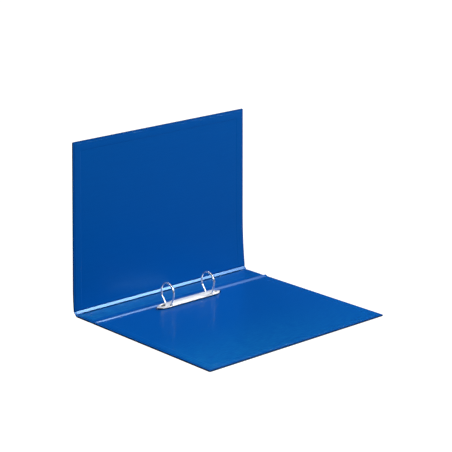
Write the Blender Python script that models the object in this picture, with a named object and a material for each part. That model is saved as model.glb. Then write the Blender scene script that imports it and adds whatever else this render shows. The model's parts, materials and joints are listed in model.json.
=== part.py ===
"""A two-ring binder, open: the back cover flat, the spine flat, and the front cover upright.

Metres, +Z up. X runs along the binder's height and Y from the back cover's free edge to the
spine. The origin is the bottom centre of the whole object.
"""

import math

import bmesh
import bpy
from mathutils import Matrix, Vector

# Driving dimensions
HEIGHT = 0.340  # of every cover panel, along X
COVER_WIDTH = 0.256  # fold line to free edge, the same on both covers
SPINE_RUN = 0.0395  # back cover's fold line to the front cover's lower fold line
CHAMFER = 0.007  # rise and run of the front hinge strip, which stands at 45 degrees
THICKNESS = 0.0026  # of a finished cover panel
SHEET = 0.00025  # one layer of covering film
LAYER_GAP = 0.00015  # between two layers that are glued to each other
PIECE_GAP = 0.0003  # between two pieces that touch
STRIP_THICKNESS = 0.0008  # of the welded hinge strip
EDGE_ROUNDING = 0.0004
TURN_IN = 0.014  # the outer film's flap on the inside of a cover
LINING_INSET = 0.0035  # lining's edge to the panel's edge

# Ring mechanism
RING_SPACING = 0.080  # between the two rings, the standard for two-hole paper
MECHANISM_X = -0.0015
MECHANISM_FROM_FOLD = 0.0169  # plate's centre line to the back cover's fold line
WIRE_RADIUS = 0.00135
RING_RADIUS = 0.01405  # of the wire's centre line
RING_CENTRE = (0.00175, 0.02415)  # from the plate's centre line, and above the table
JOINT_FROM_CENTRE = -0.0002  # where the two halves of a ring meet
FORE_FOOT = (-0.0067, 0.0050)
SPINE_FOOT = (0.0069, 0.0056)
KNEE = (0.0154, 0.0165)  # the bend in the ring half on the spine's side
KNEE_RADIUS = 0.004
FORE_LEG_BEND = (-0.0070, 0.0105)  # with the next height, the controls of the straighter leg's curve
FORE_LEG_TOP_Z = 0.0160
PEG_RADIUS = 0.00065
FORE_PEG_LENGTH = 0.0013
SPINE_PEG_LENGTH = 0.0023
TONGUE_SHAPE = (1.6, 0.8)  # length, and radius at its end, in tongue radii
SOCKET_DEPTH = 1.8  # in socket radii

PLATE_LENGTH = 0.125
PLATE_HALF_WIDTH = 0.0090
PLATE_STRAIGHT = 0.047  # half the length over which the plate keeps its full width
PLATE_METAL = 0.0006
PLATE_LIP_Z = 0.0029
PLATE_RIM_Z = 0.0052  # where the upright side wall turns over into the arch
PLATE_ARCH = 0.0025
LIP_LENGTH = 0.0012
LIP_METAL = 0.00045
TIP_HALF_WIDTH = 0.0024
TIP_ARCH = 0.0004
TIP_RIM_Z = 0.0041
WIRE_SLOT_RADIUS = 0.0020
WIRE_SLOT_STRETCH = 1.45  # the slot is this much longer along X than across
RIVET_SPACING = 0.102
DIMPLE_RADIUS = 0.0030
DIMPLE_RIM = 0.0016
DIMPLE_FLOOR_Z = 0.0047

BLADE_HALF_LENGTH = 0.0455
BLADE_METAL = 0.0006
BLADE_PIVOT = (0.0080, 0.0042)  # each side of the plate's centre line, above the table
BLADE_DROP = math.radians(3.0)
BLADE_CENTRE_GAP = 0.00025

RIVET_SHANK_RADIUS = 0.0018
RIVET_BORE_RADIUS = 0.0012
RIVET_ROLL_RADIUS = 0.0026
RIVET_ROLL_HEIGHT = 0.0005
RIVET_HEAD_RADIUS = 0.0040
RIVET_HEAD_HEIGHT = 0.0005
POST_RADIUS = 0.0029

# From where to where each cutting cylinder reaches: past both faces of what it cuts
PEG_HOLE_SPAN = (-0.003, 0.001)  # along the wire, from its foot
WIRE_SLOT_SPAN = (-0.0008, 0.008)
PLATE_HOLE_SPAN = (0.002, 0.007)  # above the table, as are the next two
BOARD_HOLE_SPAN = (-0.001, 0.005)
LINING_HOLE_SPAN = (0.001, 0.005)

# Places worked out from them
FOLD_Z = STRIP_THICKNESS / 2  # a fold line's height above the outside of the panels beside it
STRIP_WIDTH = (CHAMFER - FOLD_Z) * math.sqrt(2)  # fold line to fold line
SPINE_WIDTH = SPINE_RUN - STRIP_WIDTH
DEPTH = COVER_WIDTH + SPINE_RUN + CHAMFER
FOLD_Y = COVER_WIDTH - DEPTH / 2  # the back cover's fold line
FOLD_CLEARANCE = FOLD_Z + PIECE_GAP  # fold line to the panels beside it
PLATE_Y = FOLD_Y - MECHANISM_FROM_FOLD
BOARD_BOTTOM = SHEET + LAYER_GAP
BOARD_TOP = THICKNESS - 2 * (SHEET + LAYER_GAP)
FILM_TOP = THICKNESS - SHEET - LAYER_GAP


def material(name, colour, roughness, metallic=0.0):
    made = bpy.data.materials.new(name)
    made.use_nodes = True
    shader = made.node_tree.nodes["Principled BSDF"]
    shader.inputs["Base Color"].default_value = (*colour, 1)
    shader.inputs["Roughness"].default_value = roughness
    shader.inputs["Metallic"].default_value = metallic
    made.diffuse_color = (*colour, 1)
    return made


def add_object(name, bm, mat, place=Matrix.Identity(4)):
    """A mesh object from a bmesh, standing at a place that is a joint's axis on a moving piece."""
    bmesh.ops.recalc_face_normals(bm, faces=bm.faces)
    mesh = bpy.data.meshes.new(name)
    bm.to_mesh(mesh)
    bm.free()
    obj = bpy.data.objects.new(name, mesh)
    bpy.context.scene.collection.objects.link(obj)
    obj.matrix_world = place
    if mat:
        mesh.materials.append(mat)
    return obj


def box_mesh(low, high, bevel=0.0):
    """A box between two corners, with its long edges rounded by the bevel."""
    bm = bmesh.new()
    size = Vector(high) - Vector(low)
    middle = (Vector(high) + Vector(low)) / 2
    place = Matrix.Translation(middle) @ Matrix.Diagonal((*size, 1))
    bmesh.ops.create_cube(bm, size=1.0, matrix=place)
    if bevel:
        bmesh.ops.bevel(bm, geom=bm.edges[:], offset=bevel, segments=2, affect="EDGES", profile=0.5)
    return bm


def cylinder_mesh(radius, span, x=0.0, y=0.0, sides=24):
    """An upright cylinder over a span of heights."""
    low, high = span
    bm = bmesh.new()
    place = Matrix.Translation((x, y, (low + high) / 2))
    bmesh.ops.create_cone(
        bm, cap_ends=True, segments=sides, radius1=radius, radius2=radius, depth=high - low, matrix=place
    )
    return bm


def cut(obj, name, bm, place=Matrix.Identity(4)):
    """Takes a shape away from an object, through a Boolean on a hidden cutter."""
    cutter = add_object(name, bm, None, place)
    cutter.hide_render = True
    cutter.display_type = "WIRE"
    modifier = obj.modifiers.new(name, "BOOLEAN")
    modifier.operation = "DIFFERENCE"
    modifier.solver = "EXACT"
    modifier.object = cutter


def smooth(obj, angle=40):
    obj.data.shade_smooth()
    obj.data.set_sharp_from_angle(angle=math.radians(angle))


# Panels: each is made lying flat, its outside down and its width in +Y, with its origin on its fold
# line, which is FOLD_Z above its outside


def layer_box(x, start, end, low, high, bevel=0.0):
    """A box across a panel: half its length along X, its span in Y, and its span above the outside."""
    return box_mesh((-x, start, low - FOLD_Z), (x, end, high - FOLD_Z), bevel)


def panel_board(name, width, place, mat):
    half = HEIGHT / 2 - SHEET - LAYER_GAP
    shape = layer_box(half, FOLD_CLEARANCE + LAYER_GAP, width, BOARD_BOTTOM, BOARD_TOP)
    return add_object(name, shape, mat, place)


def panel_film(name, width, far_edge_open, place, mat):
    """The outer film round a board: a shell with a flap turned in on each edge that isn't a fold."""
    half, start, beyond = HEIGHT / 2, FOLD_CLEARANCE, THICKNESS
    shell = add_object(name, layer_box(half, start, width, 0, FILM_TOP, EDGE_ROUNDING), mat, place)
    far = width + beyond if far_edge_open else width - SHEET
    hollow = layer_box(half - SHEET, start - beyond, far, SHEET, FILM_TOP - SHEET)
    cut(shell, name + "_hollow", hollow, place)
    far = width + beyond if far_edge_open else width - TURN_IN
    window = layer_box(half - TURN_IN, start - beyond, far, BOARD_TOP, FILM_TOP + beyond)
    cut(shell, name + "_window", window, place)
    return shell


def panel_lining(name, width, place, mat):
    shape = layer_box(HEIGHT / 2 - LINING_INSET, FOLD_CLEARANCE, width, THICKNESS - SHEET, THICKNESS)
    return add_object(name, shape, mat, place)


def hinge_strip(name, width, place, mat):
    """Two films welded to each other, round along both fold lines, on which the origin lies."""
    bm = bmesh.new()
    steps = 6
    outline = []
    for centre, start in ((width, -math.pi / 2), (0.0, math.pi / 2)):
        for i in range(steps + 1):
            angle = start + math.pi * i / steps
            outline.append((centre + FOLD_Z * math.cos(angle), FOLD_Z * math.sin(angle)))
    ends = [[bm.verts.new((x, y, z)) for y, z in outline] for x in (-HEIGHT / 2, HEIGHT / 2)]
    bm.faces.new(ends[0])
    bm.faces.new(list(reversed(ends[1])))
    for i in range(len(outline)):
        j = (i + 1) % len(outline)
        bm.faces.new((ends[0][i], ends[0][j], ends[1][j], ends[1][i]))
    strip = add_object(name, bm, mat, place)
    smooth(strip)
    return strip


# Ring mechanism


def plate_half_width(x):
    """Full width along the middle, drawn in like a boat's bow to a blunt tip at each end."""
    past = (abs(x) - PLATE_STRAIGHT) / (PLATE_LENGTH / 2 - PLATE_STRAIGHT)
    if past <= 0:
        return PLATE_HALF_WIDTH
    span = PLATE_HALF_WIDTH - TIP_HALF_WIDTH
    return TIP_HALF_WIDTH + span * (1 - past**1.7)


def plate_top(x, share):
    """Height of the plate's outer face at a share of its half width, from -1 to 1."""
    past = max(0.0, (abs(x) - PLATE_STRAIGHT) / (PLATE_LENGTH / 2 - PLATE_STRAIGHT))
    whole = (1 + math.cos(math.pi * past)) / 2
    arch = TIP_ARCH + (PLATE_ARCH - TIP_ARCH) * whole
    rim = TIP_RIM_Z + (PLATE_RIM_Z - TIP_RIM_Z) * whole
    half = plate_half_width(x)
    radius = (half * half + arch * arch) / (2 * arch)
    height = rim + math.sqrt(max(0.0, radius**2 - (share * half) ** 2)) - (radius - arch)
    from_rivet = math.hypot(abs(x) - RIVET_SPACING / 2, share * half)
    blend = min(1.0, max(0.0, (from_rivet - DIMPLE_RADIUS) / DIMPLE_RIM))
    blend = blend * blend * (3 - 2 * blend)
    return min(height, DIMPLE_FLOOR_Z + blend * (height - DIMPLE_FLOOR_Z))


def plate_section(x):
    """The closed outline of the arched sheet at one place along it, with both lips turned in."""
    half = plate_half_width(x)
    inner_half = half - PLATE_METAL
    lip = half - min(LIP_LENGTH, half * 0.4)
    low, floor = PLATE_LIP_Z, PLATE_LIP_Z + LIP_METAL
    corner = PLATE_METAL / 2
    shares = [math.sin(math.radians(a)) for a in range(-90, 91, 10)]
    outer = [(share * half, plate_top(x, share)) for share in shares]
    inner = [(share * inner_half, plate_top(x, share) - PLATE_METAL) for share in reversed(shares)]
    left = [(-lip, floor), (-lip, low), (corner - half, low), (-half, low + corner)]
    right = [(half, low + corner), (half - corner, low), (lip, low), (lip, floor)]
    return left + outer + right + [(inner_half, floor)] + inner + [(-inner_half, floor)]


def loft(sections):
    """A closed solid through outlines that have the same number of points."""
    bm = bmesh.new()
    rings = [[bm.verts.new(point) for point in section] for section in sections]
    bm.faces.new(list(reversed(rings[0])))
    bm.faces.new(rings[-1])
    count = len(rings[0])
    for a, b in zip(rings, rings[1:]):
        for i in range(count):
            j = (i + 1) % count
            bm.faces.new((a[i], a[j], b[j], b[i]))
    return bm


def plate_stations():
    """Places along the plate: few on the straight middle, close together round each rivet and tip."""
    half = PLATE_LENGTH / 2
    rivet = RIVET_SPACING / 2
    reach = DIMPLE_RADIUS + DIMPLE_RIM
    around = [rivet + reach * i / 6 for i in range(-6, 7)]
    to_tip = [rivet + reach + (half - rivet - reach) * math.sin(math.radians(a)) for a in (25, 45, 65, 90)]
    right = [0.0, PLATE_STRAIGHT - 0.0012] + around + to_tip
    right = [x for i, x in enumerate(right) if i == 0 or x > right[i - 1] + 1e-5]
    return [-x for x in reversed(right[1:])] + right


def wire_mesh(path, peg_length, tongue, socket):
    """A round wire along a path in a plane of constant x, with a peg on its foot, and at its other
    end a tongue or the socket that a tongue goes into."""
    bm = bmesh.new()
    sides = 12
    rows = []

    def row(centre, direction, radius):
        across = Vector((1, 0, 0))
        up = direction.cross(across)
        angles = [2 * math.pi * i / sides for i in range(sides)]
        rows.append(
            [bm.verts.new(centre + radius * (math.cos(a) * across + math.sin(a) * up)) for a in angles]
        )

    points = [Vector((0, y, z)) for y, z in path]
    directions = []
    for i, _ in enumerate(points):
        directions.append((points[min(i + 1, len(points) - 1)] - points[max(i - 1, 0)]).normalized())
    foot = directions[0]
    row(points[0] - foot * peg_length, foot, PEG_RADIUS)
    row(points[0], foot, PEG_RADIUS)
    for point, direction in zip(points, directions):
        row(point, direction, WIRE_RADIUS)
    tip, end = points[-1], directions[-1]
    if tongue:
        length, radius = TONGUE_SHAPE
        row(tip, end, tongue)
        row(tip + end * tongue * length, end, tongue * radius)
    if socket:
        row(tip, end, socket)
        row(tip - end * socket * SOCKET_DEPTH, end, socket)
    bm.faces.new(list(reversed(rows[0])))
    bm.faces.new(rows[-1])
    for a, b in zip(rows, rows[1:]):
        for i in range(sides):
            j = (i + 1) % sides
            bm.faces.new((a[i], a[j], b[j], b[i]))
    return bm


def arc(centre, radius, start, end, steps):
    """Points on a circle, angles in degrees from +Y towards +Z."""
    found = []
    for i in range(steps + 1):
        angle = math.radians(start + (end - start) * i / steps)
        found.append((centre[0] + radius * math.cos(angle), centre[1] + radius * math.sin(angle)))
    return found


def bezier(a, b, c, d, steps):
    found = []
    for i in range(steps):
        t = i / steps
        weights = ((1 - t) ** 3, 3 * t * (1 - t) ** 2, 3 * t * t * (1 - t), t**3)
        found.append(tuple(sum(w * p[k] for w, p in zip(weights, (a, b, c, d))) for k in (0, 1)))
    return found


def joint_angle(gap_side):
    """Where a ring half ends, in degrees: gap_side is -1 or 1, for the side of the joint's gap."""
    from_centre = RING_CENTRE[0] - JOINT_FROM_CENTRE + gap_side * PIECE_GAP / 2
    return 90 + math.degrees(math.asin(from_centre / RING_RADIUS))


def fore_path():
    """The ring half towards the free edge, foot to joint."""
    side = (RING_CENTRE[0] - RING_RADIUS, RING_CENTRE[1])
    leg = bezier(FORE_FOOT, FORE_LEG_BEND, (side[0], FORE_LEG_TOP_Z), side, 7)
    return leg + arc(RING_CENTRE, RING_RADIUS, 180, joint_angle(1), 9)


def spine_path():
    """The ring half towards the spine, foot to joint, with its knee and straight leg."""
    side = Vector((RING_CENTRE[0] + RING_RADIUS, RING_CENTRE[1]))
    knee, foot = Vector(KNEE), Vector(SPINE_FOOT)
    into = (knee - foot).normalized()
    out = (side - knee).normalized()
    turn = math.acos(into.dot(out))
    back = KNEE_RADIUS * math.tan(turn / 2)
    start, end = knee - into * back, knee + out * back
    knee_points = []
    for i in range(5):
        t = i / 4
        knee_points.append(tuple((1 - t) ** 2 * start + 2 * t * (1 - t) * knee + t * t * end))
    middle = tuple((foot + start) / 2)
    return [tuple(foot), middle] + knee_points + arc(RING_CENTRE, RING_RADIUS, 0, joint_angle(-1), 12)


def blade(name, side, mat):
    """A steel blade under the plate: its outer edge turns in a lip, its inner edge meets its twin.
    side is -1 towards the free edge and 1 towards the spine. The origin is on its pivot."""
    pivot = Vector((MECHANISM_X, PLATE_Y + side * BLADE_PIVOT[0], BLADE_PIVOT[1]))
    width = BLADE_PIVOT[0] - BLADE_CENTRE_GAP
    half_metal = BLADE_METAL / 2
    low_y, high_y = sorted((0.0, -side * width))
    bm = box_mesh((-BLADE_HALF_LENGTH, low_y, -half_metal), (BLADE_HALF_LENGTH, high_y, half_metal))
    bm.transform(Matrix.Rotation(side * BLADE_DROP, 4, "X"))
    return add_object(name, bm, mat, Matrix.Translation(pivot))


def turned(outline, x, y, sides=24):
    """A closed outline of (radius, height) turned round a vertical axis."""
    bm = bmesh.new()
    rows = []
    for i in range(sides):
        angle = 2 * math.pi * i / sides
        rows.append([bm.verts.new((x + r * math.cos(angle), y + r * math.sin(angle), z)) for r, z in outline])
    count = len(outline)
    for i in range(sides):
        a, b = rows[i], rows[(i + 1) % sides]
        for k in range(count):
            n = (k + 1) % count
            bm.faces.new((a[k], b[k], b[n], a[n]))
    return bm


def rivet(name, x, mat):
    """A tubular rivet: its head under the outer film, its rolled end in the plate's dimple."""
    top = DIMPLE_FLOOR_Z + PIECE_GAP + RIVET_ROLL_HEIGHT
    head_top = BOARD_BOTTOM + RIVET_HEAD_HEIGHT
    outline = [
        (RIVET_BORE_RADIUS, BOARD_BOTTOM),
        (RIVET_HEAD_RADIUS, BOARD_BOTTOM),
        (RIVET_HEAD_RADIUS, head_top),
        (RIVET_SHANK_RADIUS, head_top),
        (RIVET_SHANK_RADIUS, top - RIVET_ROLL_HEIGHT),
        (RIVET_ROLL_RADIUS, top - RIVET_ROLL_HEIGHT),
        (RIVET_ROLL_RADIUS * 0.96, top - RIVET_ROLL_HEIGHT * 0.4),
        (RIVET_ROLL_RADIUS * 0.78, top),
        (RIVET_BORE_RADIUS * 1.3, top),
        (RIVET_BORE_RADIUS, top - RIVET_ROLL_HEIGHT * 0.7),
    ]
    smooth(add_object(name, turned(outline, x, PLATE_Y), mat))


def post(name, x, mat):
    """The spacer that holds the plate off the cover, round the rivet."""
    low = THICKNESS + PIECE_GAP / 2
    high = DIMPLE_FLOOR_Z - PLATE_METAL - PIECE_GAP
    bore = RIVET_SHANK_RADIUS + PIECE_GAP
    outline = [(bore, low), (POST_RADIUS, low), (POST_RADIUS, high), (bore, high)]
    smooth(add_object(name, turned(outline, x, PLATE_Y), mat))


def main():
    for obj in list(bpy.data.objects):
        bpy.data.objects.remove(obj, do_unlink=True)

    film = material("blue_film", (0.0, 0.09, 0.37), 0.32)
    lining = material("blue_lining", (0.0, 0.10, 0.40), 0.30)
    board = material("grey_board", (0.45, 0.40, 0.33), 0.9)
    nickel = material("nickel_plate", (0.80, 0.79, 0.76), 0.18, 1.0)
    chrome = material("chrome_wire", (0.85, 0.86, 0.88), 0.08, 1.0)
    steel = material("spring_steel", (0.55, 0.55, 0.56), 0.3, 1.0)

    back = Matrix.Translation((0, FOLD_Y, FOLD_Z)) @ Matrix.Rotation(math.pi, 4, "Z")
    spine = Matrix.Translation((0, FOLD_Y + STRIP_WIDTH, FOLD_Z))
    upper_fold = Matrix.Translation((0, FOLD_Y + SPINE_RUN + CHAMFER - FOLD_Z, CHAMFER))
    front = upper_fold @ Matrix.Rotation(math.pi / 2, 4, "X")
    board_end = COVER_WIDTH - SHEET - LAYER_GAP
    lining_end = COVER_WIDTH - LINING_INSET
    spine_end = SPINE_WIDTH - FOLD_CLEARANCE

    back_board = panel_board("back_cover_board", board_end, back, board)
    panel_film("back_cover_film", COVER_WIDTH, False, back, film)
    back_lining = panel_lining("back_cover_lining", lining_end, back, lining)
    panel_board("spine_board", spine_end - LAYER_GAP, spine, board)
    panel_film("spine_film", spine_end, True, spine, film)
    panel_lining("spine_lining", spine_end, spine, lining)
    panel_board("front_cover_board", board_end, front, board)
    panel_film("front_cover_film", COVER_WIDTH, False, front, film)
    panel_lining("front_cover_lining", lining_end, front, lining)

    hinge_strip("back_hinge_strip", STRIP_WIDTH, Matrix.Translation((0, FOLD_Y, FOLD_Z)), film)
    tilt = Matrix.Rotation(math.pi / 4, 4, "X")
    lower_fold = Vector((0, FOLD_Y + SPINE_RUN, FOLD_Z))
    hinge_strip("front_hinge_strip", STRIP_WIDTH, Matrix.Translation(lower_fold) @ tilt, film)

    plate_place = Matrix.Translation((MECHANISM_X, PLATE_Y, 0))
    sections = [[(x, y, z) for y, z in plate_section(x)] for x in plate_stations()]
    plate = add_object("ring_plate", loft(sections), nickel, plate_place)
    smooth(plate)

    blades = {-1: blade("fore_blade", -1, steel), 1: blade("spine_blade", 1, steel)}
    for side_name, end in (("left", -1), ("right", 1)):
        x = MECHANISM_X + end * RING_SPACING / 2
        halves = (("fore", -1, fore_path(), FORE_PEG_LENGTH), ("spine", 1, spine_path(), SPINE_PEG_LENGTH))
        for half_name, side, path, peg_length in halves:
            pivot = Vector((x, PLATE_Y + side * BLADE_PIVOT[0], BLADE_PIVOT[1]))
            local = [(y - side * BLADE_PIVOT[0], z - BLADE_PIVOT[1]) for y, z in path]
            tongue, socket = (PEG_RADIUS, 0) if side < 0 else (0, PEG_RADIUS + PIECE_GAP)
            shape = wire_mesh(local, peg_length, tongue, socket)
            name = f"ring_{side_name}_{half_name}_half"
            smooth(add_object(name, shape, chrome, Matrix.Translation(pivot)))

            first, second = (Vector((0, *p)) for p in path[:2])
            along = (second - first).normalized()
            turn = Vector((0, 0, 1)).rotation_difference(along).to_matrix().to_4x4()
            foot = Matrix.Translation((x, PLATE_Y + first.y, first.z)) @ turn
            hole = cylinder_mesh(PEG_RADIUS + PIECE_GAP, PEG_HOLE_SPAN, sides=16)
            cut(blades[side], name + "_peg_hole", hole, foot)
            slot = cylinder_mesh(WIRE_SLOT_RADIUS, WIRE_SLOT_SPAN)
            slot.transform(Matrix.Diagonal((WIRE_SLOT_STRETCH, 1, 1, 1)))
            cut(plate, name + "_slot", slot, foot)

        rivet_x = MECHANISM_X + end * RIVET_SPACING / 2
        rivet("rivet_" + side_name, rivet_x, nickel)
        post("post_" + side_name, rivet_x, nickel)
        shank = RIVET_SHANK_RADIUS + PIECE_GAP
        holes = ((plate, PLATE_HOLE_SPAN), (back_board, BOARD_HOLE_SPAN), (back_lining, LINING_HOLE_SPAN))
        for obj, span in holes:
            hole = cylinder_mesh(shank, span, rivet_x, PLATE_Y)
            cut(obj, f"{obj.name}_rivet_hole_{side_name}", hole)
        head_room = (BOARD_HOLE_SPAN[0], BOARD_BOTTOM + RIVET_HEAD_HEIGHT + PIECE_GAP)
        recess = cylinder_mesh(RIVET_HEAD_RADIUS + PIECE_GAP, head_room, rivet_x, PLATE_Y)
        cut(back_board, f"rivet_head_recess_{side_name}", recess)


main()
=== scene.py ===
"""The looks of the open two-ring binder: film, linings, hinges and ring mechanism.

Metres, +Z up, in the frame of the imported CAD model. X runs along the binder's height, and Y from
the back cover's free edge to the spine.
"""

import functools
import json
import math

import bmesh
import bpy
import numpy as np
from mathutils import Euler, Matrix, Vector


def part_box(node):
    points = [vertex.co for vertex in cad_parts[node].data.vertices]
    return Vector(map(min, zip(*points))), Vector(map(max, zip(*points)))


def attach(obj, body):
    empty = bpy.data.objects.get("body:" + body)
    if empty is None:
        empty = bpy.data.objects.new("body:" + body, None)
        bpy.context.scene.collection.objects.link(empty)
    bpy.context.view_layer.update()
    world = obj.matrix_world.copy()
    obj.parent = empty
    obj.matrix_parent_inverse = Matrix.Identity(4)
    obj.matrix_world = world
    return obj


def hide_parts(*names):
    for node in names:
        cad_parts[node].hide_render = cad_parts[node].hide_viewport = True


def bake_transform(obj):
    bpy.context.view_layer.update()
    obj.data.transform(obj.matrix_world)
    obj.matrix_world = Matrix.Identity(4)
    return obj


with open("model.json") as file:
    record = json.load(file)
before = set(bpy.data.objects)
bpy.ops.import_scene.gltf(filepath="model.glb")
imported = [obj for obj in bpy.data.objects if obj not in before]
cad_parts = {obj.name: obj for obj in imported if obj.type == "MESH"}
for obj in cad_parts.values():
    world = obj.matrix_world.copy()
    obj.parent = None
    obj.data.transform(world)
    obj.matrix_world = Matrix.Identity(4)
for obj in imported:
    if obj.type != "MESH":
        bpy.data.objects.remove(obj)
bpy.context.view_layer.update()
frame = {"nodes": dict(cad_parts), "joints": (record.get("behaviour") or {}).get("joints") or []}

MM = 0.001
FLOOR_Z = -0.0072  # below the bowed front cover's lowest point when it is opened flat

# Sizes that the CAD model also has
HALF_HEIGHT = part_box("back_cover_film")[1].x
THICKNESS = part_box("back_cover_lining")[1].z
COVER_WIDTH = 0.256
FILM = 0.00025  # one layer of covering film
FILM_GAP = 0.00005
TURN_IN = 0.014
LINING_INSET = 0.0035
FOLDS = {joint["name"]: Vector(joint["pos_m"]) for joint in frame["joints"]}

# Film and lining
EDGE_RADIUS = 0.0005
CORNER_RADIUS = 0.0016
CORNER_STEPS = 6
TURN_IN_STEP = 0.00022  # drop of the lining from the turned-in film to the bare board
TURN_IN_SLOPE = 0.0011
WELD_DEPTH = 0.00012  # pressed line just inside the lining's edge
WELD_AT = 0.0058
WELD_HALF_WIDTH = 0.0011
LINING_EDGE = 0.0004  # over which the lining's cut edge rounds down
LINING_ROUNDING = (0.0, 0.25, 0.6, 1.0)  # shares of that at which it has points
CLEAR_OF_EDGE = 1.2  # times LINING_EDGE: nearer the cut edge, the usual grid gives way to those
LINING_DROP = 0.75  # share of the film's thickness by which its cut edge rounds down
BEND_END = 0.0101  # beyond it a cover needs only a coarse grid
ROW_STEPS = 4  # steps between two of a profile's rows
EDGE_STEPS = 6  # steps round each of the film's two edge bends
EDGE_RINGS = (0.006, 0.002)  # more rings of points, by their distance in from the edge
BOARD_START = 0.0012  # from the fold line to the board
BOARD_SHARES = (0.17, 0.76)  # its faces, as shares of the way from the outside to the inside
MIN_STEP = 1e-4  # points of a grid are never closer than this
SAME_POINT = 2e-6  # points of the film nearer than this become one
NO_LENGTH = 1e-6  # edges of the film shorter than this are removed
SHEET_SMOOTH = 50  # degrees: edges that bend more than this stay sharp, on film and board
METAL_SMOOTH = 35  # and on metal

# Marks on the film, each by its distance from the panel's fold line. Pairs called "ends" are
# amounts at the binder's left end and right end.
EDGE_SHADE_BELOW = 0.0004  # film nearer than this to the panel's edge gets painted shade
FOLD_FACE = {"front_hinge": (0.0024, 1.0), "front_cover": (-1.0, -0.0011)}  # the strip's face, which gets painted highlight
# where the lining gets painted shade beside the strip's face: the groove and the overhang
FOLD_SHADE_SPAN = {"front_hinge": (0.0009, 0.0023), "front_cover": (-0.0009, 0.0001)}
FOLD_CREASE_SHADE = {"front_hinge": 1.0, "front_cover": 0.5}
# amounts of painted highlight on the strip's face and on the bead's flank
FOLD_FACE_HIGHLIGHT_ENDS = (1.0, 0.5)
BEAD_HIGHLIGHT_ENDS = (0.9, 0.25)
COVER_SHEEN_FROM = (0.10, 0.24)  # the painted sheen sets in over this distance
COVER_SHEEN_ENDS = (0.5, 0.125)
# painted sheen on the spine: the span over which it sets in, and its amount
SPINE_SHEEN_FROM = (-0.0046, 0.004)
SPINE_SHEEN = 0.6

# How the upright cover stands out of true, from its left end to its right end: it leans by a slope,
# and its lowest part swings back from the fold
LEAN = (-0.0344, 0.0055)
SWING = (0.0020, 0.0050)
SWING_REACH = (0.036, 0.084)

# The bead that the lining makes along the back fold, from its left end to its right end
BEAD_HEIGHT = (0.0010, 0.0017)
BEAD_REACH = (0.0017, 0.0056)
BEAD_BACK = 0.0034
BEAD_AT = 0.0040  # from the fold line to the bead's crest

# Ring mechanism, as in the CAD model
RING_SPACING = 0.080
MECHANISM_X = -0.0015
PLATE_Y = (FOLDS["fore_jaw_hinge"].y + FOLDS["spine_jaw_hinge"].y) / 2
WIRE_RADIUS = 0.00135
RING_RADIUS = 0.01405
RING_CENTRE = Vector((0, 0.00175, 0.02415))
JOINT_FROM_CENTRE = -0.0002
JOINT_GAP = 0.0003
FORE_FOOT = Vector((0, -0.0067, 0.0050))
SPINE_FOOT = Vector((0, 0.0069, 0.0056))
KNEE = Vector((0, 0.0154, 0.0165))
KNEE_RADIUS = 0.004
FORE_LEG_BEND = Vector((0, -0.0070, 0.0105))
FORE_LEG_TOP_Z = 0.0160
PEG_RADIUS = 0.00065
FORE_PEG_LENGTH = 0.0013
SPINE_PEG_LENGTH = 0.0023
WIRE_SIDES = 32
WIRE_END_ROUNDING = 0.00035
WIRE_END_STEPS = (0.0, 0.3, 0.6, 0.85, 1.0)
TONGUE_SHAPE = ((0.0, 1.0), (1.0, 1.0), (1.35, 0.92), (1.55, 0.7), (1.6, 0.4))  # in peg radii
SOCKET_DEPTH = 1.8  # in socket radii

PLATE_HALF_LENGTH = 0.0625
PLATE_HALF_WIDTH = 0.0090
PLATE_STRAIGHT = 0.047
PLATE_METAL = 0.0006
PLATE_LIP_Z = 0.0029
PLATE_RIM_Z = 0.0052
PLATE_ARCH = 0.0025
PLATE_WALL_BELOW = 0.0045  # the side wall is nearly black nickel below this height: painted shade
LIP_LENGTH = 0.0012
LIP_METAL = 0.00045
LIP_SHARE = 0.4  # the most of the half width that a lip takes
TIP_TAPER = 1.7  # power by which the width falls off towards the tip
TIP_HALF_WIDTH = 0.0024
TIP_ARCH = 0.0004
TIP_RIM_Z = 0.0041
WIRE_SLOT_RADIUS = 0.0020
WIRE_SLOT_STRETCH = 1.45
WIRE_SLOT_SPAN = (-0.0008, 0.008)  # along the wire, from its foot
RIVET_SPACING = 0.102
DIMPLE_RADIUS = 0.0030
DIMPLE_RIM = 0.0016
DIMPLE_FLOOR_Z = 0.0047
RIVET_HOLE_RADIUS = 0.0021
RIVET_HOLE_SPAN = (0.002, 0.007)
CUT_MERGE = 5e-6  # points that the cuts leave nearer than this become one
CUT_GAP_SIDES = 8  # gaps with up to this many sides are filled

RIVET_HEAD = 0.0040
RIVET_HEAD_THICKNESS = 0.0005
RIVET_SHANK = 0.0018
RIVET_BORE = 0.0012
RIVET_ROLLED = 0.0026  # outer radius of the rolled end
RIVET_ROLL = 0.00045
RIVET_LOW_Z = 0.0004
RIVET_TOP_Z = 0.0055

# Film material: noise scales per metre along X and across it, bump heights and colours
STREAK_SCALE = (18, 760, 1)
SCUFF_SCALE = (70, 330, 1)
THREAD_SCALES = ((240, 3600, 1), (3600, 240, 1))
WAVE_SCALE = (14, 22, 1)
STREAK_BUMP = 0.00002
THREAD_BUMP = 0.000004
WAVE_BUMP = 0.00012
# painted shade on the wrapped edges and beside the hinge strip's face
SHADE_BLUE = (0.0, 0.022, 0.10)
# painted sheen, broken up by rubbing noise
SHEEN_BLUE = (0.008, 0.20, 0.46)
# painted highlight on the hinge strip's face and the bead's flank
HIGHLIGHT_BLUE = (0.18, 0.30, 0.58)
FILM_ROUGHNESS = 0.28
EDGE_ROUGHNESS = 0.85

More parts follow.
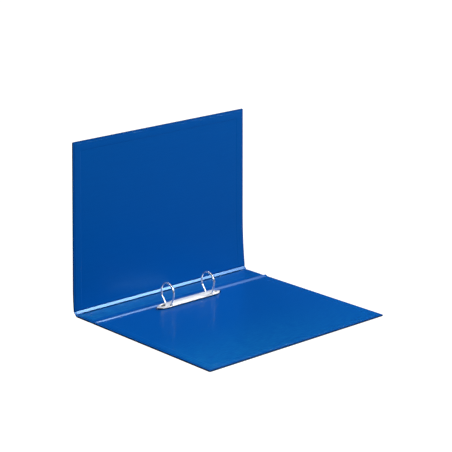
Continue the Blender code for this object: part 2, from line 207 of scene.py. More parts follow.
# Stage
FLOOR_HALF = 12.0
WORLD_LIGHT = 0.012
OBJECT_MIDDLE = (0.0, 0.08, 0.05)
CREASE_SPOT = (-0.20, 0.148, 0.005)  # its gloss shows the key light
LIGHTS = (  # name, direction from the target, distance, size, watts, target
    ("key", (0.644, -0.26, 0.715), 2.2, (0.50, 0.34), 27, CREASE_SPOT),
    ("front_fill", (-0.25, -1.0, 0.85), 2.6, (1.8, 1.2), 52, OBJECT_MIDDLE),
    ("right_fill", (1.0, -0.25, 0.30), 2.4, (1.0, 1.0), 16, OBJECT_MIDDLE),
    ("overhead", (-0.1, 0.1, 1.0), 2.6, (1.6, 1.6), 12, OBJECT_MIDDLE),
    ("back_fill", (0.1, 1.0, 0.7), 2.6, (1.8, 1.2), 24, OBJECT_MIDDLE),
)
CAMERA_PLACE = (-1.46565, -1.62306, 0.76747)
CAMERA_TURN = (73.9386, -0.0591, -41.9639)  # degrees
CAMERA_LENS = 125.383
CAMERA_SENSOR = 36
CAMERA_CLIP = (0.05, 60)


# Meshes


def make_object(name, bm, material, smooth_angle=None):
    """A mesh object from a bmesh, with smooth faces apart from edges over the angle in degrees."""
    mesh = bpy.data.meshes.new(name)
    bm.to_mesh(mesh)
    bm.free()
    obj = bpy.data.objects.new(name, mesh)
    bpy.context.scene.collection.objects.link(obj)
    mesh.materials.append(material)
    if smooth_angle is not None:
        mesh.shade_smooth()
        mesh.set_sharp_from_angle(angle=math.radians(smooth_angle))
    return obj


def smoothstep(low, high, value):
    """From 0 at low to 1 at high, where low may be the greater."""
    t = np.clip((value - low) / (high - low), 0.0, 1.0)
    return t * t * (3 - 2 * t)


def between_ends(ends, u):
    """An amount that changes evenly from the binder's left end to its right end."""
    return ends[0] + (ends[1] - ends[0]) * (u + HALF_HEIGHT) / (2 * HALF_HEIGHT)


def catmull_rom(rows, steps):
    """A smooth curve through rows of numbers."""
    rows = np.array(rows, float)
    padded = np.vstack([2 * rows[0] - rows[1], rows, 2 * rows[-1] - rows[-2]])
    found = []
    for a, b, c, d in zip(padded, padded[1:], padded[2:], padded[3:]):
        for t in np.arange(steps) / steps:
            found.append(0.5 * (2 * b + (c - a) * t + (2 * a - 5 * b + 4 * c - d) * t**2
                                + (3 * b - a - 3 * c + d) * t**3))
    found.append(rows[-1])
    return np.array(found)


# The folded sheet: each panel with the half strips beside it is one profile across the binder, as
# rows of (distance from the fold line, outside y and z, inside y and z), in millimetres from the
# fold line. A cover's rows end where its panel is straight.

BACK_FOLD_ROWS = (
    (-4.667, 4.667, -0.30, 4.667, 1.90),
    (-3.6, 3.6, -0.28, 3.6, 1.88),
    (-2.6, 2.6, -0.20, 2.6, 1.92),
    (-1.6, 1.6, -0.14, 1.6, 2.02),
    (-0.6, 0.6, -0.14, 0.6, 2.14),
    (0.4, -0.4, -0.24, -0.4, 2.20),
    (1.4, -1.4, -0.40, -1.4, 2.20),
    (2.4, -2.4, -0.40, -2.4, 2.20),
    (4.0, -4.0, -0.40, -4.0, 2.20),
    (5.0, -5.0, -0.40, -5.0, 2.20),
    (6.0, -6.0, -0.40, -6.0, 2.20),
    (7.0, -7.0, -0.40, -7.0, 2.20),
    (8.0, -8.0, -0.40, -8.0, 2.20),
    (10.0, -10.0, -0.40, -10.0, 2.20),
)
SPINE_ROWS = (
    (-4.667, -4.667, -0.30, -4.667, 1.90),
    (-3.4, -3.4, -0.26, -3.4, 1.96),
    (-2.2, -2.2, -0.16, -2.2, 2.08),
    (-1.2, -1.2, -0.12, -1.2, 2.16),
    (-0.3, -0.3, -0.18, -0.3, 2.20),
    (0.7, 0.7, -0.36, 0.7, 2.20),
    (1.8, 1.8, -0.40, 1.8, 2.20),
    (4.0, 4.0, -0.40, 4.0, 2.20),
    (8.0, 8.0, -0.40, 8.0, 2.20),
    (15.0, 15.0, -0.40, 15.0, 2.20),
    (22.0, 22.0, -0.40, 22.0, 2.20),
    (27.0, 27.0, -0.40, 27.0, 2.20),
    (28.816, 28.816, -0.40, 28.816, 2.20),
)
SPINE_EDGE_ROWS = (
    (-1.35, -1.35, -0.40, -1.35, 2.20),
    (-0.90, -0.90, -0.40, -0.98, 2.19),
    (-0.50, -0.50, -0.39, -0.62, 2.04),
    (-0.1, -0.12, -0.34, -0.22, 1.66),
    (0.3, 0.25, -0.22, 0.25, 1.32),
    (0.7, 0.60, 0.02, 0.95, 1.22),
    (1.0, 0.85, 0.26, 1.55, 1.42),
    (1.3, 1.10, 0.53, 1.92, 1.82),
    (1.6, 1.30, 0.73, 2.06, 2.36),
    (1.9, 1.53, 0.97, 2.08, 2.86),
    (2.2, 1.77, 1.20, 2.10, 3.16),
    (2.5, 2.00, 1.44, 2.22, 3.36),
    (3.2, 2.55, 1.98, 2.42, 3.56),
    (4.667, 3.583, 3.017, 2.727, 3.873),
)
FRONT_FOLD_ROWS = (
    (-4.667, -3.017, -3.583, -3.873, -2.727),
    (-3.6, -2.26, -2.83, -3.12, -1.97),
    (-2.6, -1.56, -2.12, -2.41, -1.26),
    (-1.7, -0.92, -1.48, -1.84, -0.69),
    (-1.3, -0.64, -1.22, -1.56, -0.41),
    (-1.0, -0.43, -0.97, -1.42, -0.25),
    (-0.8, -0.28, -0.80, -1.40, -0.08),
    (-0.4, -0.02, -0.44, -1.46, 0.16),
    (0.1, 0.22, 0.04, -1.58, 0.46),
    (0.7, 0.32, 0.68, -1.78, 0.86),
    (1.3, 0.37, 1.30, -1.98, 1.34),
    (2.0, 0.40, 2.00, -2.16, 2.02),
    (2.8, 0.40, 2.80, -2.20, 2.80),
    (4.2, 0.40, 4.20, -2.20, 4.20),
    (6.0, 0.40, 6.00, -2.20, 6.00),
    (8.0, 0.40, 8.00, -2.20, 8.00),
)


class Profile:
    """One panel's profile, with its fold line's place, and the shapes laid over it."""

    def __init__(self, rows, fold, relief_span, panel_end=None, away=(0, 0), bead=False,
                 upright=False):
        """relief_span is where the lining's relief sets in, and a cover goes on away from the
        fold, straight to panel_end."""
        table = catmull_rom(rows, ROW_STEPS) * MM
        if panel_end is not None:
            run = panel_end - table[-1, 0]
            straight = table[-1] + np.array((1, away[0], away[1], away[0], away[1])) * run
            table = np.vstack([table, straight])
        self.table = table
        self.fold = fold
        self.panel_end = panel_end
        self.bead = bead
        self.upright = upright
        self.relief_span = relief_span
        self.end = table[-1, 0]

    def inside_relief(self, u, v):
        """How far the lining's face lies under its nominal height, from the edges inwards."""
        from_edge = HALF_HEIGHT - np.abs(u)
        if self.panel_end is not None:
            from_edge = np.minimum(from_edge, self.panel_end - v)
        flat = smoothstep(*self.relief_span, v)
        step = smoothstep(TURN_IN - TURN_IN_SLOPE / 2, TURN_IN + TURN_IN_SLOPE / 2, from_edge)
        weld = np.clip(1 - ((from_edge - WELD_AT) / WELD_HALF_WIDTH) ** 2, 0, 1) ** 2
        return (TURN_IN_STEP * step + WELD_DEPTH * weld) * flat

    def bead_height(self, u, v):
        """The bead's height over the lining, which falls away on both sides of its crest."""
        past = v - BEAD_AT
        ahead = 1 - smoothstep(0.0, 1.0, past / between_ends(BEAD_REACH, u))
        behind = 1 - smoothstep(0.0, BEAD_BACK, -past)
        return between_ends(BEAD_HEIGHT, u) * np.where(past > 0, ahead, behind)

    def place(self, u, v, depth):
        """Points at u along X and v across, at a depth below the inside face in metres, or on the
        outside where the depth is None."""
        u, v = np.broadcast_arrays(np.asarray(u, float), np.asarray(v, float))
        t = self.table
        outside = np.stack([np.interp(v, t[:, 0], t[:, k]) for k in (1, 2)], -1)
        inside = np.stack([np.interp(v, t[:, 0], t[:, k]) for k in (3, 4)], -1)
        across = outside - inside
        across /= np.linalg.norm(across, axis=-1, keepdims=True)
        lift = self.bead_height(u, v) if self.bead else 0.0
        if depth is None:
            spot = outside
        else:
            relief = self.inside_relief(u, v)
            spot = inside + across * (relief + depth - lift)[..., None]
        points = np.stack([u, spot[..., 0] + self.fold.y, spot[..., 1] + self.fold.z], -1)
        return self.warped(points, u, v)

    def between(self, u, v, share, depth):
        """Points at a share of the way from the outside to a depth below the inside."""
        outside = self.place(u, v, None)
        inside = self.place(u, v, depth)
        return outside + (inside - outside) * np.asarray(share)[..., None]

    def warped(self, points, u, v):
        """The upright cover's lean and swing."""
        if not self.upright:
            return points
        rise = np.maximum(v, 0.0)
        phase = np.clip(rise / between_ends(SWING_REACH, u), 0, 1)
        moved = points.copy()
        moved[..., 1] += between_ends(LEAN, u) * rise
        moved[..., 1] += between_ends(SWING, u) * (1 - (1 - phase) ** 2)
        return moved


def grid_values(start, end, fine_at=(), coarse=0.008, fine=0.0003, reach=0.0018):
    """Places from start to end, close together near the fine ones and coarse elsewhere."""
    values = list(np.linspace(start, end, max(2, int(abs(end - start) / coarse) + 1)))
    for spot in fine_at:
        near = np.arange(spot - reach, spot + reach + fine / 2, fine)
        values = [v for v in values if abs(v - spot) > reach * 1.3] + list(near)
    values = sorted(v for v in values if start - 1e-9 <= v <= end + 1e-9)
    values = [v for v in values if v - start > MIN_STEP and end - v > MIN_STEP] + [end]
    kept = [start]
    for value in values:
        if value - kept[-1] > MIN_STEP:
            kept.append(value)
    kept[-1] = end
    return np.array(kept)


def add_rows(bm, uv_layer, rows, uvs, flip):
    """Quads between neighbouring rows of points, with a UV for each point."""
    verts = [[bm.verts.new(point) for point in row] for row in rows]
    for i in range(len(rows) - 1):
        for j in range(len(rows[i]) - 1):
            corners = [(i, j), (i, j + 1), (i + 1, j + 1), (i + 1, j)]
            if flip:
                corners.reverse()
            face = bm.faces.new([verts[a][b] for a, b in corners])
            for loop, (a, b) in zip(face.loops, corners):
                loop[uv_layer].uv = uvs[a][b]
    return verts


def join_rims(bm, uv_layer, upper, lower, uvs):
    """Side faces between the rims of two grids of vertices."""
    last_row, last_column = len(upper) - 1, len(upper[0]) - 1
    rim = [(0, j) for j in range(last_column + 1)]
    rim += [(i, last_column) for i in range(1, last_row + 1)]
    rim += [(last_row, j) for j in range(last_column - 1, -1, -1)]
    rim += [(i, 0) for i in range(last_row - 1, 0, -1)]
    for (a, b), (c, d) in zip(rim, rim[1:] + rim[:1]):
        face = bm.faces.new((upper[a][b], upper[c][d], lower[c][d], lower[a][b]))
        for loop, (i, j) in zip(face.loops, ((a, b), (c, d), (c, d), (a, b))):
            loop[uv_layer].uv = uvs[i][j]


def cross_values(profile, fine_at):
    """Stations across a panel: the fold's own, then a grid over the straight part."""
    bend = profile.table[:, 0]
    if profile.panel_end is None:
        return bend
    bend = bend[bend < BEND_END]
    rest = grid_values(bend[-1], profile.panel_end, fine_at)
    return np.concatenate([bend, rest[1:]])


def lining_piece(name, profile, material):
    """The inner lining as a closed sheet, with its cut edges rounded down."""
    edge = HALF_HEIGHT - LINING_INSET
    free = profile.panel_end - LINING_INSET if profile.panel_end is not None else profile.end
    creases = (WELD_AT, TURN_IN)
    u_fine = [side * (HALF_HEIGHT - c) for side in (-1, 1) for c in creases]
    us = grid_values(-edge, edge, u_fine)
    v_fine = [profile.panel_end - c for c in creases] if profile.panel_end is not None else ()
    vs = cross_values(profile, v_fine)
    vs = np.append(vs[vs < free - MIN_STEP], free)
    rounding = LINING_EDGE * np.array(LINING_ROUNDING)
    clear = CLEAR_OF_EDGE * LINING_EDGE
    us = np.concatenate([us[np.abs(us) < edge - clear], edge - rounding, rounding - edge])
    us = np.unique(np.round(us, 7))
    if profile.panel_end is not None:
        vs = np.concatenate([vs[vs < free - clear], (free - rounding)[::-1]])
    u, v = np.meshgrid(us, vs, indexing="ij")
    to_edge = edge - np.abs(u)
    if profile.panel_end is not None:
        to_edge = np.minimum(to_edge, free - v)
    t = np.clip(1 - to_edge / LINING_EDGE, 0, 1)
    drop = FILM * LINING_DROP * (1 - np.sqrt(1 - t * t))
    top = profile.place(u, v, drop)
    bottom = profile.place(u, v, np.full_like(u, FILM))
    uvs = np.stack([u, v], -1)
    bm = bmesh.new()
    layer = bm.loops.layers.uv.new("sheet")
    upper = add_rows(bm, layer, top, uvs, False)
    lower = add_rows(bm, layer, bottom, uvs, True)
    join_rims(bm, layer, upper, lower, uvs)
    bmesh.ops.recalc_face_normals(bm, faces=bm.faces)
    return make_object(name, bm, material, SHEET_SMOOTH)


def mark_points(obj, name, value_at):
    """A number for each point of a sheet, from its place on the sheet, for the material to read."""
    mask = obj.data.attributes.new(name, "FLOAT", "POINT")
    uvs = obj.data.uv_layers["sheet"].uv
    for loop, uv in zip(obj.data.loops, uvs):
        mask.data[loop.vertex_index].value = value_at(*uv.vector)


def edge_shade(u, v):
    """1 on the wrapped edges of a cover's film, which get painted shade."""
    return float(min(HALF_HEIGHT - abs(u), COVER_WIDTH - v) < EDGE_SHADE_BELOW)


def painted_fold_highlight(piece, u, v):
    """How much painted highlight the lining gets on the hinge strip's face and the bead's flank,
    less towards the right end.
    """
    if piece == "back_cover":
        past = v - BEAD_AT
        return float(0 < past < between_ends(BEAD_REACH, u)) * between_ends(BEAD_HIGHLIGHT_ENDS, u)
    low, high = FOLD_FACE[piece]
    return float(low < v < high) * between_ends(FOLD_FACE_HIGHLIGHT_ENDS, u)


def sheen_and_rubbing(piece, u, v):
    """How much painted sheen the lining gets, broken up by rubbing noise in the material: on the
    back cover most towards its front left corner, and on the spine up to the front hinge's crease,
    least towards the right end."""
    if piece == "back_cover":
        return float(smoothstep(*COVER_SHEEN_FROM, v) * between_ends(COVER_SHEEN_ENDS, u))
    amount = SPINE_SHEEN * (1 - between_ends((0, 1), u) ** 2)
    if piece == "spine":
        return float(smoothstep(*SPINE_SHEEN_FROM, v) * amount)
    return float(v < FOLD_SHADE_SPAN[piece][0]) * amount


def fold_shade(piece, u, v):
    """How much painted shade the lining gets beside the hinge strip's face: in the groove below it
    and under the overhang above it.
    """
    low, high = FOLD_SHADE_SPAN[piece]
    return FOLD_CREASE_SHADE[piece] * float(low < v < high)


def film_rings(depth):
    """Rings of points round the edge, each by its distance in from the edge and its share of the
    way from the outside to the inside."""
    usual = THICKNESS - depth
    r = EDGE_RADIUS
    flat = (TURN_IN, *EDGE_RINGS)
    angles = [math.pi / 2 * i / EDGE_STEPS for i in range(EDGE_STEPS + 1)]
    rings = [(d, 0.0) for d in flat]
    rings += [(r - r * math.sin(a), (r - r * math.cos(a)) / usual) for a in angles]
    rings.append((0.0, 0.5))
    rings += [(r - r * math.cos(a), 1 - (r - r * math.sin(a)) / usual) for a in angles]
    rings += [(d, 1.0) for d in reversed(flat)]
    return rings


def film_piece(name, profile, material):
    """The outer film: its outside face, wrapped round the free edges and turned in."""
    depth = FILM + FILM_GAP
    inner = HALF_HEIGHT - TURN_IN
    us = grid_values(-inner, inner)
    covers = profile.panel_end is not None
    vs = cross_values(profile, ())
    if covers:
        last = profile.panel_end - TURN_IN
        vs = np.append(vs[vs < last - 1.0 * MM], last)
    bm = bmesh.new()
    layer = bm.loops.layers.uv.new("sheet")
    u, v = np.meshgrid(us, vs, indexing="ij")
    uvs = np.stack([u, v], -1)
    add_rows(bm, layer, profile.place(u, v, None), uvs, True)

    def side_path(d, side):
        return [(side * (HALF_HEIGHT - d), value) for value in vs]

    def corner_path(d, side):
        """The corner's points, from the long side to the free edge."""
        radius = max(CORNER_RADIUS - d, 0.0)
        centre = (HALF_HEIGHT - d - radius, profile.panel_end - d - radius)
        angles = [math.pi / 2 * i / CORNER_STEPS for i in range(CORNER_STEPS + 1)]
        return [
            (side * (centre[0] + radius * math.cos(a)), centre[1] + radius * math.sin(a))
            for a in angles
        ]

    rings = film_rings(depth)
    paths = []
    for d, _ in rings:
        left, right = side_path(d, -1), side_path(d, 1)
        if not covers:
            paths.append((left, right))
            continue
        free = [(value, profile.panel_end - d) for value in us[1:-1]]
        path = left[:-1] + corner_path(d, -1) + free + corner_path(d, 1)[::-1] + right[:-1][::-1]
        paths.append((path,))
    for k in range(len(paths[0])):
        rows, row_uvs = [], []
        for (_, share), path in zip(rings, paths):
            spots = np.array(path[k])
            shares, depths = np.full(len(spots), share), np.full(len(spots), depth)
            rows.append(profile.between(spots[:, 0], spots[:, 1], shares, depths))
            row_uvs.append(spots)
        add_rows(bm, layer, rows, row_uvs, False)
    bmesh.ops.remove_doubles(bm, verts=bm.verts, dist=SAME_POINT)
    bmesh.ops.dissolve_degenerate(bm, edges=bm.edges, dist=NO_LENGTH)
    bmesh.ops.recalc_face_normals(bm, faces=bm.faces)
    obj = make_object(name, bm, material, SHEET_SMOOTH)
    # painted shade on the wrapped edges
    mark_points(obj, "painted_shade", edge_shade)
    thick = obj.modifiers.new("film thickness", "SOLIDIFY")
    thick.thickness = FILM
    thick.offset = -1
    thick.use_even_offset = False
    return obj


def board_piece(name, profile, material):
    """The upright cover's board, which stands out of true with its film."""
    inset = FILM + FILM_GAP
    us = grid_values(-HALF_HEIGHT + inset, HALF_HEIGHT - inset)
    vs = grid_values(BOARD_START, profile.panel_end - inset)
    u, v = np.meshgrid(us, vs, indexing="ij")
    low, high = (
        profile.between(u, v, np.full_like(u, share), np.full_like(u, inset))
        for share in BOARD_SHARES
    )
    uvs = np.stack([u, v], -1)
    bm = bmesh.new()
    layer = bm.loops.layers.uv.new("sheet")
    upper = add_rows(bm, layer, high, uvs, False)
    lower = add_rows(bm, layer, low, uvs, True)
    join_rims(bm, layer, upper, lower, uvs)
    bmesh.ops.recalc_face_normals(bm, faces=bm.faces)
    return make_object(name, bm, material, SHEET_SMOOTH)


# Ring mechanism


def arc(centre, radius, start, end, steps):
    """Points on a circle, angles in degrees from +Y towards +Z."""
    angles = [math.radians(start + (end - start) * i / steps) for i in range(steps + 1)]
    return [centre + radius * Vector((0, math.cos(a), math.sin(a))) for a in angles]


def fore_path():
    """The ring half towards the free edge, foot to joint."""
    past_top = math.asin((RING_CENTRE.y - JOINT_FROM_CENTRE + JOINT_GAP / 2) / RING_RADIUS)
    side = RING_CENTRE - Vector((0, RING_RADIUS, 0))
    controls = (FORE_FOOT, FORE_LEG_BEND, Vector((0, side.y, FORE_LEG_TOP_Z)), side)
    steps = 18
    leg = []
    for t in (i / steps for i in range(steps)):
        weights = ((1 - t) ** 3, 3 * t * (1 - t) ** 2, 3 * t * t * (1 - t), t**3)
        leg.append(sum((w * p for w, p in zip(weights, controls)), Vector()))
    return leg + arc(RING_CENTRE, RING_RADIUS, 180, 90 + math.degrees(past_top), 26)


def spine_path():
    """The ring half towards the spine, foot to joint, with its knee and straight leg."""
    past_top = math.asin((RING_CENTRE.y - JOINT_FROM_CENTRE - JOINT_GAP / 2) / RING_RADIUS)
    side = RING_CENTRE + Vector((0, RING_RADIUS, 0))
    into = (KNEE - SPINE_FOOT).normalized()
    out = (side - KNEE).normalized()
    back = KNEE_RADIUS * math.tan(math.acos(into.dot(out)) / 2)
    start, end = KNEE - into * back, KNEE + out * back
    leg = [SPINE_FOOT.lerp(start, i / 5) for i in range(5)]
    shares = [i / 8 for i in range(9)]
    bend = [(1 - t) ** 2 * start + 2 * t * (1 - t) * KNEE + t * t * end for t in shares]
    return leg + bend + arc(RING_CENTRE, RING_RADIUS, 0, 90 + math.degrees(past_top), 34)


def wire_piece(name, path, place, peg_length, tongue, socket, material):
    """A round wire with a peg on its foot, and a tongue or its socket at the joint."""
    bm = bmesh.new()
    rows = []

    def row(centre, direction, radius):
        across = Vector((1, 0, 0))
        up = direction.cross(across)
        angles = [2 * math.pi * i / WIRE_SIDES for i in range(WIRE_SIDES)]
        out = [math.cos(a) * across + math.sin(a) * up for a in angles]
        rows.append([bm.verts.new(centre + radius * way) for way in out])

    points = [place + point for point in path]
    ends = zip(points[:1] + points[:-1], points[1:] + points[-1:])
    directions = [(after - before).normalized() for before, after in ends]
    foot, end, tip = directions[0], directions[-1], points[-1]
    rounding = WIRE_END_ROUNDING
    row(points[0] - foot * peg_length, foot, PEG_RADIUS)
    row(points[0] - foot * rounding, foot, PEG_RADIUS)
    row(points[0], foot, WIRE_RADIUS - rounding)
    for point, direction in list(zip(points, directions))[1:-1]:
        row(point, direction, WIRE_RADIUS)
    for share in WIRE_END_STEPS:
        inward = rounding * (1 - math.sqrt(1 - share * share))
        row(tip - end * rounding * (1 - share), end, WIRE_RADIUS - inward)
    if tongue:
        for along, radius in TONGUE_SHAPE:
            row(tip + end * tongue * along, end, tongue * radius)
    if socket:
        row(tip, end, socket)
        row(tip - end * socket * SOCKET_DEPTH, end, socket)
    bm.faces.new(list(reversed(rows[0])))
    bm.faces.new(rows[-1])
    for a, b in zip(rows, rows[1:]):
        for i in range(WIRE_SIDES):
            j = (i + 1) % WIRE_SIDES
            bm.faces.new((a[i], a[j], b[j], b[i]))
    bmesh.ops.recalc_face_normals(bm, faces=bm.faces)
    return make_object(name, bm, material, METAL_SMOOTH)


def plate_half_width(x):
    """Half the plate's width at one place along it, less towards its rounded tips."""
    past = (abs(x) - PLATE_STRAIGHT) / (PLATE_HALF_LENGTH - PLATE_STRAIGHT)
    if past <= 0:
        return PLATE_HALF_WIDTH
    span = PLATE_HALF_WIDTH - TIP_HALF_WIDTH
    return TIP_HALF_WIDTH + span * (1 - past**TIP_TAPER)


def plate_top(x, share):
    """Height of the plate's outer face at a share of its half width, from -1 to 1."""
    past = max(0.0, (abs(x) - PLATE_STRAIGHT) / (PLATE_HALF_LENGTH - PLATE_STRAIGHT))
    whole = (1 + math.cos(math.pi * past)) / 2
    arch = TIP_ARCH + (PLATE_ARCH - TIP_ARCH) * whole
    rim = TIP_RIM_Z + (PLATE_RIM_Z - TIP_RIM_Z) * whole
    half = plate_half_width(x)
    radius = (half * half + arch * arch) / (2 * arch)
    height = rim + math.sqrt(max(0.0, radius**2 - (share * half) ** 2)) - (radius - arch)
    from_rivet = math.hypot(abs(x) - RIVET_SPACING / 2, share * half)
    blend = min(1.0, max(0.0, (from_rivet - DIMPLE_RADIUS) / DIMPLE_RIM))
    blend = blend * blend * (3 - 2 * blend)
    return min(height, DIMPLE_FLOOR_Z + blend * (height - DIMPLE_FLOOR_Z))


def plate_section(x):
    """The closed outline of the arched sheet at one place along it, with both lips turned in."""
    half = plate_half_width(x)
    inner_half = half - PLATE_METAL
    lip = half - min(LIP_LENGTH, half * LIP_SHARE)
    low, floor = PLATE_LIP_Z, PLATE_LIP_Z + LIP_METAL
    corner = PLATE_METAL / 2
    shares = [math.sin(math.radians(a)) for a in range(-90, 91, 5)]
    outer = [(share * half, plate_top(x, share)) for share in shares]
    inner = [(share * inner_half, plate_top(x, share) - PLATE_METAL) for share in reversed(shares)]
    band = min(PLATE_WALL_BELOW - MM / 100, (low + corner + plate_top(x, 1.0)) / 2)
    right = [(half, band), (half, low + corner), (half - corner, low), (lip, low), (lip, floor)]
    left = [(-y, z) for y, z in reversed(right)]
    return left + outer + right + [(inner_half, floor)] + inner + [(-inner_half, floor)]


def plate_stations():
    """Places along the plate for its sections, close together round the rivets and at the tips."""
    rivet = RIVET_SPACING / 2
    reach = DIMPLE_RADIUS + DIMPLE_RIM
    around = [rivet + reach * i / 14 for i in range(-14, 15)]
    tip_run = PLATE_HALF_LENGTH - rivet - reach
    to_tip = [rivet + reach + tip_run * math.sin(math.radians(a)) for a in range(8, 91, 8)]
    to_tip.append(PLATE_HALF_LENGTH)
    middle = [PLATE_STRAIGHT * i / 12 for i in range(12)]
    right = sorted(x for x in middle + around + to_tip)
    right = [x for i, x in enumerate(right) if i == 0 or x > right[i - 1] + MM / 100]
    return [-x for x in reversed(right[1:])] + right


def cut_away(obj, bm, place):
    """Takes a shape away from an object for good."""
    bm.transform(place)
    mesh = bpy.data.meshes.new("cutter")
    bm.to_mesh(mesh)
    bm.free()
    cutter = bpy.data.objects.new("cutter", mesh)
    bpy.context.scene.collection.objects.link(cutter)
    modifier = obj.modifiers.new("cut", "BOOLEAN")
    modifier.operation = "DIFFERENCE"
    modifier.solver = "EXACT"
    modifier.object = cutter
    bpy.context.view_layer.update()
    evaluated = obj.evaluated_get(bpy.context.evaluated_depsgraph_get())
    made = bpy.data.meshes.new_from_object(evaluated)
    obj.modifiers.remove(modifier)
    obj.data = made
    bpy.data.objects.remove(cutter)


def cylinder(radius, low, high, sides=48):
    """An upright cylinder between two heights."""
    bm = bmesh.new()
    place = Matrix.Translation((0, 0, (low + high) / 2))
    bmesh.ops.create_cone(bm, cap_ends=True, segments=sides, radius1=radius, radius2=radius,
                          depth=high - low, matrix=place)
    return bm


def ring_plate(material, wall_material):
    """The arched plate, with a slot for each wire and a hole in each rivet's dimple. Its lower
    side walls, turned lips and dimples are nearly black nickel: painted shade."""
    bm = bmesh.new()
    offset = Vector((MECHANISM_X, PLATE_Y, 0))
    rows = [
        [bm.verts.new(offset + Vector((x, y, z))) for y, z in plate_section(x)]
        for x in plate_stations()
    ]
    bm.faces.new(list(reversed(rows[0])))
    bm.faces.new(rows[-1])
    for a, b in zip(rows, rows[1:]):
        for i in range(len(a)):
            j = (i + 1) % len(a)
            face = bm.faces.new((a[i], a[j], b[j], b[i]))
            middle = (a[i].co + b[j].co) / 2 - offset
            from_rivet = math.hypot(abs(middle.x) - RIVET_SPACING / 2, middle.y)
            wall = max(a[i].co.z, a[j].co.z) < PLATE_WALL_BELOW
            # painted shade: nearly black nickel on the lower walls, the lips and the dimples
            face.material_index = int(wall or from_rivet < DIMPLE_RADIUS + DIMPLE_RIM / 2)
    bmesh.ops.triangulate(bm, faces=bm.faces)
    bmesh.ops.recalc_face_normals(bm, faces=bm.faces)
    plate = make_object("mechanism_plate", bm, material)
    plate.data.materials.append(wall_material)
    for end in (-1, 1):
        x = MECHANISM_X + end * RING_SPACING / 2
        for path in (fore_path(), spine_path()):
            along = (path[1] - path[0]).normalized()
            turn = Vector((0, 0, 1)).rotation_difference(along).to_matrix().to_4x4()
            foot = Matrix.Translation((x, PLATE_Y + path[0].y, path[0].z)) @ turn
            slot = cylinder(WIRE_SLOT_RADIUS, *WIRE_SLOT_SPAN)
            slot.transform(Matrix.Diagonal((WIRE_SLOT_STRETCH, 1, 1, 1)))
            cut_away(plate, slot, foot)
        rivet = Matrix.Translation((MECHANISM_X + end * RIVET_SPACING / 2, PLATE_Y, 0))
        cut_away(plate, cylinder(RIVET_HOLE_RADIUS, *RIVET_HOLE_SPAN), rivet)
    close_cuts(plate.data)
    plate.data.shade_smooth()
    plate.data.set_sharp_from_angle(angle=math.radians(METAL_SMOOTH))
    return plate


def close_cuts(mesh):
    """Merges the tiny edges that the cuts leave, and closes the gaps between them."""
    bm = bmesh.new()
    bm.from_mesh(mesh)
    bmesh.ops.triangulate(bm, faces=bm.faces)
    bmesh.ops.remove_doubles(bm, verts=bm.verts, dist=CUT_MERGE)
    bmesh.ops.dissolve_degenerate(bm, edges=bm.edges, dist=CUT_MERGE)
    bmesh.ops.holes_fill(bm, edges=bm.edges, sides=CUT_GAP_SIDES)
    bmesh.ops.triangulate(bm, faces=bm.faces)
    bm.to_mesh(mesh)
    bm.free()


def lathe(name, outline, centre, material, sides=64):
    """A closed outline of (radius, height) turned round a vertical axis."""
    bm = bmesh.new()
    rows = []
    for i in range(sides):
        angle = 2 * math.pi * i / sides
        out, up = Vector((math.cos(angle), math.sin(angle), 0)), Vector((0, 0, 1))
        rows.append([bm.verts.new(centre + r * out + z * up) for r, z in outline])
    for a, b in zip(rows, rows[1:] + rows[:1]):
        for k in range(len(outline)):
            n = (k + 1) % len(outline)
            bm.faces.new((a[k], b[k], b[n], a[n]))
    bmesh.ops.recalc_face_normals(bm, faces=bm.faces)
    return make_object(name, bm, material, METAL_SMOOTH)


def rivet_piece(name, x, material):
    """A tubular rivet, its end rolled over into the plate's dimple."""
    above_head = RIVET_LOW_Z + RIVET_HEAD_THICKNESS
    outline = [
        (RIVET_BORE, RIVET_LOW_Z),
        (RIVET_HEAD, RIVET_LOW_Z),
        (RIVET_HEAD, above_head),
        (RIVET_SHANK, above_head),
        (RIVET_SHANK, RIVET_TOP_Z - 2 * RIVET_ROLL),
    ]
    centre = (RIVET_BORE + RIVET_ROLLED) / 2
    reach = (RIVET_ROLLED - RIVET_BORE) / 2
    for degrees in range(-20, 181, 20):
        angle = math.radians(degrees)
        height = RIVET_TOP_Z - RIVET_ROLL + RIVET_ROLL * math.sin(angle)
        outline.append((centre + reach * math.cos(angle), height))
    return lathe(name, outline, Vector((x, PLATE_Y, 0)), material)


# Materials


